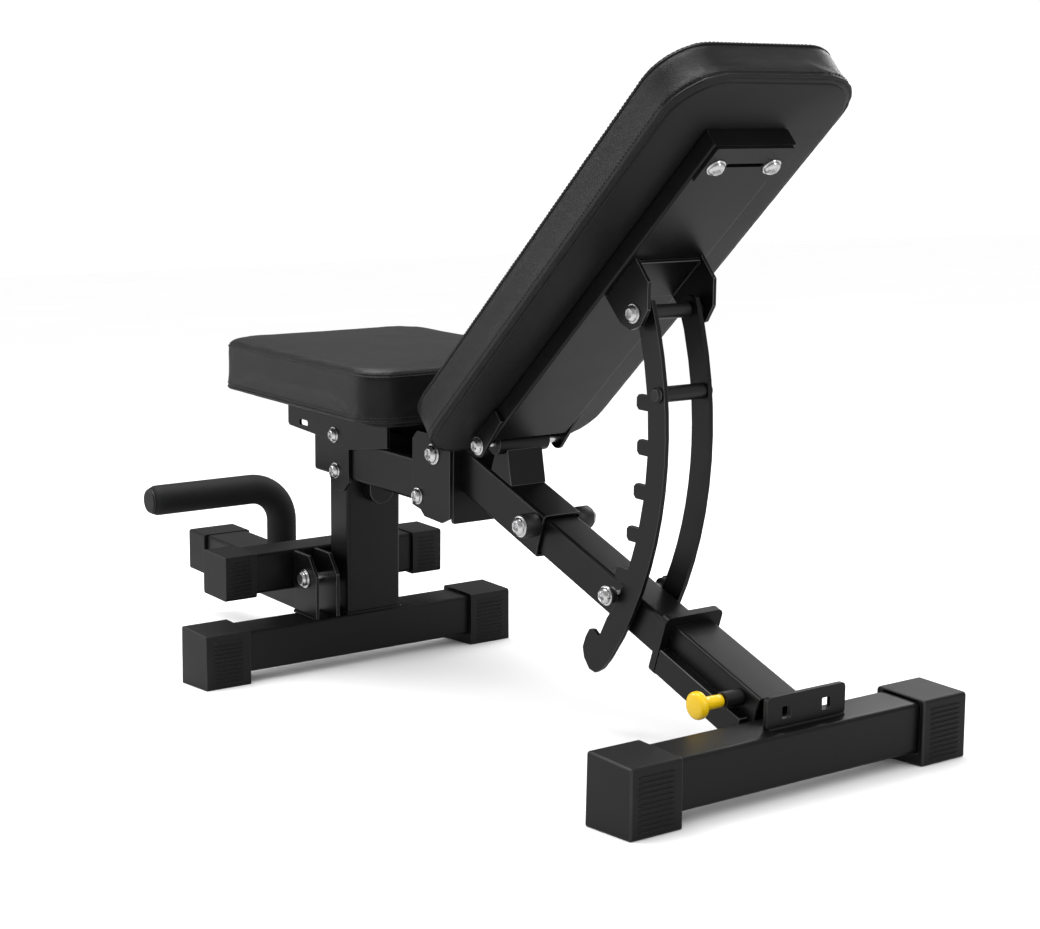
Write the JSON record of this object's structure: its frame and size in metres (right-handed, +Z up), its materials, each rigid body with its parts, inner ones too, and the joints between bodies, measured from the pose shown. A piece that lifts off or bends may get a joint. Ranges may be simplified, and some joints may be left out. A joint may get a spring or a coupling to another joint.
{
  "type": "adjustable weight bench",
  "caption": "Adjustable weight bench with a padded seat, a ladder-adjusted tilting backrest, steel frame, carry handle and spring-pin rear leg.",
  "frame": {"origin": "on the floor under the middle of the bench's bounding box", "axes": "+Z up; +X from the foot end and seat toward the rear stabiliser and the backrest's head end; +Y to the right of someone looking along +X with the seat at the left, so -Y is the side with the yellow pin"},
  "size_m": [1.472, 0.517, 0.8201],
  "materials": {
    "powder_coated_steel": "satin black powder coat with a fine texture",
    "blackened_steel": "blackened steel, low sheen",
    "chrome": "bright plated bolt heads",
    "black_rubber": "matte black rubber with fine ribs",
    "black_foam": "matte black foam",
    "black_leatherette": "black leatherette, fine grain, stitched seams",
    "grey_vinyl_board": "plywood board under dark grey vinyl",
    "yellow_plastic": "glossy yellow plastic"
  },
  "bodies": {
    "front_frame": {"beam_saddle": "powder_coated_steel", "bracket_bolt": "chrome", "bracket_plate_inner": "powder_coated_steel", "bracket_plate_outer": "powder_coated_steel", "clevis_pin": "chrome", "foot_tube": "powder_coated_steel", "foot_tube_cap": "black_rubber", "front_foot_left": "black_rubber", "front_foot_right": "black_rubber", "front_stabiliser": "powder_coated_steel", "handle_bar": "powder_coated_steel", "handle_foam": "black_foam", "handle_plug": "black_rubber", "hinge_barrel": "powder_coated_steel", "hinge_saddle": "powder_coated_steel", "hub_bolt": "chrome", "main_tube": "powder_coated_steel", "post": "powder_coated_steel", "prop_tube": "powder_coated_steel", "rest_pin": "chrome", "roller_bar": "powder_coated_steel", "roller_cap_left": "black_rubber", "roller_cap_right": "black_rubber", "seat_beam": "powder_coated_steel", "seat_board": "grey_vinyl_board", "seat_bolt_lower": "chrome", "seat_bolt_upper": "chrome", "seat_bracket_left": "powder_coated_steel", "seat_bracket_right": "powder_coated_steel", "seat_pad": "black_leatherette", "side_plate_bolt": "chrome", "side_plate_left": "powder_coated_steel", "side_plate_right": "powder_coated_steel", "tube_flange": "powder_coated_steel"},
    "backrest": {"backrest_board": "grey_vinyl_board", "backrest_frame": "powder_coated_steel", "backrest_pad": "black_leatherette", "head_bolt_left": "chrome", "head_bolt_right": "chrome", "head_plate": "powder_coated_steel", "hinge_bolt": "chrome", "hinge_lug_left": "powder_coated_steel", "hinge_lug_right": "powder_coated_steel", "ladder_base": "powder_coated_steel", "ladder_bolt": "chrome", "ladder_ear_left": "powder_coated_steel", "ladder_ear_right": "powder_coated_steel"},
    "ladder": {"ladder_arm_left": "powder_coated_steel", "ladder_arm_right": "powder_coated_steel", "ladder_cross_bar": "blackened_steel"},
    "rear_leg": {"leg_collar": "powder_coated_steel", "leg_rail_left": "powder_coated_steel", "leg_rail_right": "powder_coated_steel", "leg_sleeve": "powder_coated_steel", "pin_barrel": "blackened_steel", "rear_bracket": "powder_coated_steel", "rear_foot_left": "black_rubber", "rear_foot_right": "black_rubber", "rear_stabiliser": "powder_coated_steel"},
    "pop_pin": {"pop_knob": "yellow_plastic"}
  },
  "joints": [
    {"name": "backrest_tilt", "type": "hinge", "parent": "front_frame", "child": "backrest", "pos_m": [0.17615, 0.025, 0.35362], "axis": [0, -1, 0], "range_deg": [-42.6, 21.6]},
    {"name": "ladder_swing", "type": "hinge", "parent": "backrest", "child": "ladder", "pos_m": [0.48777, 0.025, 0.52885], "axis": [0, -1, 0], "range_deg": [0, 5]},
    {"name": "leg_extension", "type": "slide", "parent": "front_frame", "child": "rear_leg", "axis": [0.9214, 0, -0.3887], "range_m": [0, 0.022]},
    {"name": "pop_pin", "type": "slide", "parent": "rear_leg", "child": "pop_pin", "axis": [0, -1, 0], "range_m": [0, 0.01], "stiffness_N_per_m": 600}
  ]
}
